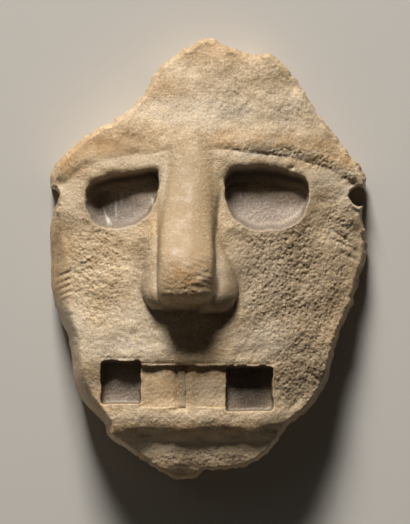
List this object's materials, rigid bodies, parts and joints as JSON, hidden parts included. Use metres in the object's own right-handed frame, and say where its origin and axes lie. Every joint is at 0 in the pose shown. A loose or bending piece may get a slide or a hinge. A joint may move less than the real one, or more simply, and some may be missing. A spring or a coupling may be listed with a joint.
{
  "type": "funerary mask",
  "caption": "Carved stone funerary mask lying on its hollowed back, with sunken eyes, long nose, square-cut mouth with teeth and a broken crown.",
  "frame": {"origin": "under the middle of the mask's outline, on the surface that its back rim lies on", "axes": "+Z out of the face, +Y towards the crown, +X towards the viewer's right"},
  "size_m": [0.1326, 0.1843, 0.0573],
  "materials": {
    "stone": "worn, partly polished banded calcite"
  },
  "bodies": {
    "root": {"mask": "stone"}
  },
  "joints": []
}
